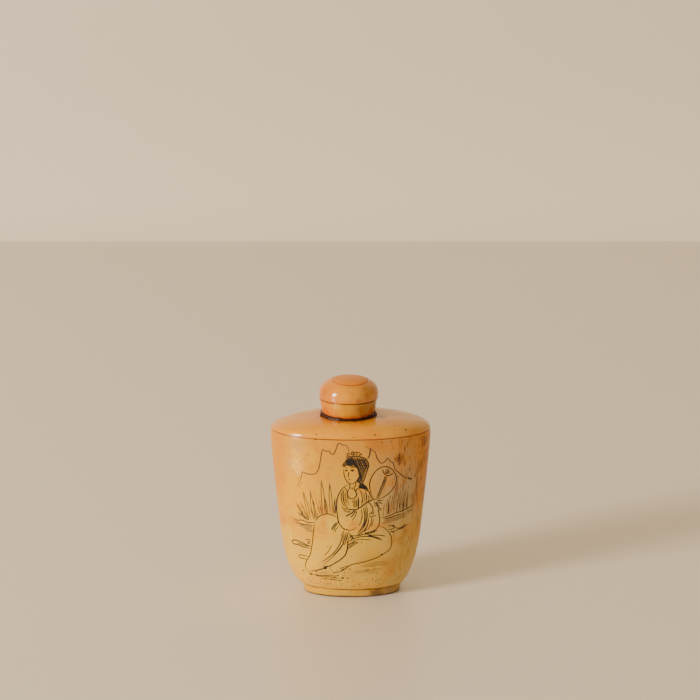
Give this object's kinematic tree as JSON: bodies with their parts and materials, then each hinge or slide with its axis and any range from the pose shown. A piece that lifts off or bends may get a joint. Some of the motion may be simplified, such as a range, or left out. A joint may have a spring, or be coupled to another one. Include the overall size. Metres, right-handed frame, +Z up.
{
  "type": "snuff bottle",
  "caption": "Small flask-shaped snuff bottle of stained bone: oval tapering body on a low foot plate, domed shoulder, round neck collar and a bun-shaped stopper that lifts off.",
  "frame": {"origin": "middle of the underside of the foot plate's outline box, on the surface that the bottle stands on", "axes": "+Z up along the bottle's height, +X across its width to the viewer's right, +Y to the plain back; the engraved face looks along -Y"},
  "size_m": [0.05, 0.0312, 0.0686],
  "materials": {
    "body_bone": "polished bone stained honey yellow, oranger towards the narrow sides, with open pores and a picture in incised, ink-filled lines",
    "foot_bone": "polished bone, honey yellow, greyed and dirty along its lower edge",
    "shoulder_bone": "polished bone stained warm amber, with a few dark pores and a dark stain round the neck",
    "neck_bone": "polished bone stained deep amber, with pale translucent patches and small chips on its upper edge",
    "stopper_bone": "glossy polished bone stained deep amber, blotched brown on one side",
    "disc_bone": "polished bone stained amber brown"
  },
  "bodies": {
    "root": {"body": "body_bone", "foot_plate": "foot_bone", "shoulder_plate": "shoulder_bone", "neck_collar": "neck_bone", "stopper": "stopper_bone", "stopper_disc": "disc_bone"}
  },
  "joints": []
}
